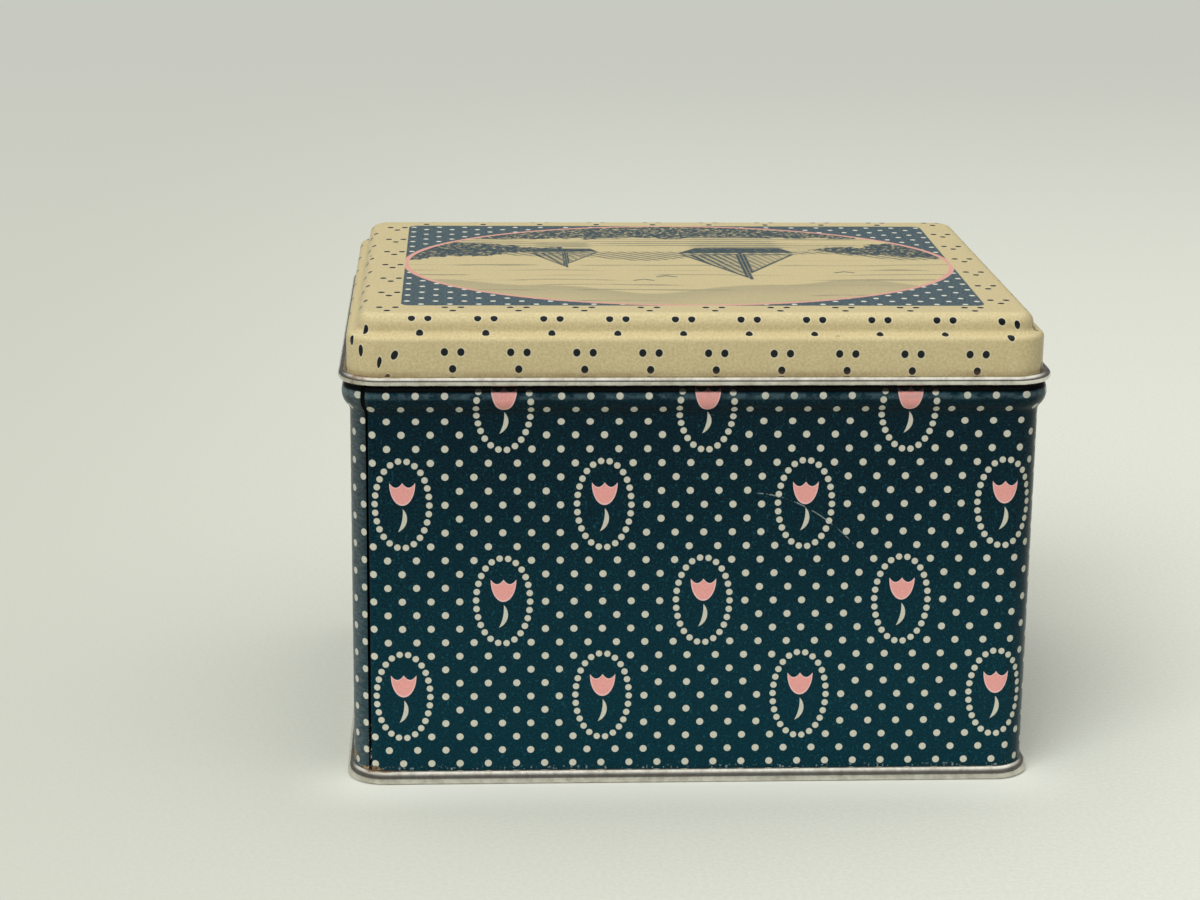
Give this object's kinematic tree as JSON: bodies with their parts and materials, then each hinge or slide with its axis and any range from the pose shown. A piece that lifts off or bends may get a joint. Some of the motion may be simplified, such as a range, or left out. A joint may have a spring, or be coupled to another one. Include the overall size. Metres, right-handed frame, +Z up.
{
  "type": "rectangular tin box with lift-off lid",
  "caption": "Rectangular printed tinplate box with rounded corners, a bead under the lid, a seamed base rim and a lift-off lid with a raised panel and rolled edge.",
  "frame": {"origin": "middle of the foot, on the surface the tin stands on", "axes": "+X along the long side, +Y from the pictured long side to the other one, +Z up"},
  "size_m": [0.1574, 0.121, 0.1075],
  "materials": {
    "printed_body": "dark navy-teal lithographed print with cream dots, semi-gloss varnish",
    "bare_tinplate": "bare tinplate, dulled and lightly rusted at the seam",
    "printed_lid": "cream lithographed print with navy dots and a blue-grey panel, semi-gloss varnish"
  },
  "bodies": {
    "tin": {"body_wall": "printed_body", "base": "bare_tinplate"},
    "lid": {"lid": "printed_lid"}
  },
  "joints": [
    {"name": "lid_lift", "type": "slide", "parent": "tin", "child": "lid", "axis": [0, 0, 1], "range_m": [0, 0.08]}
  ]
}
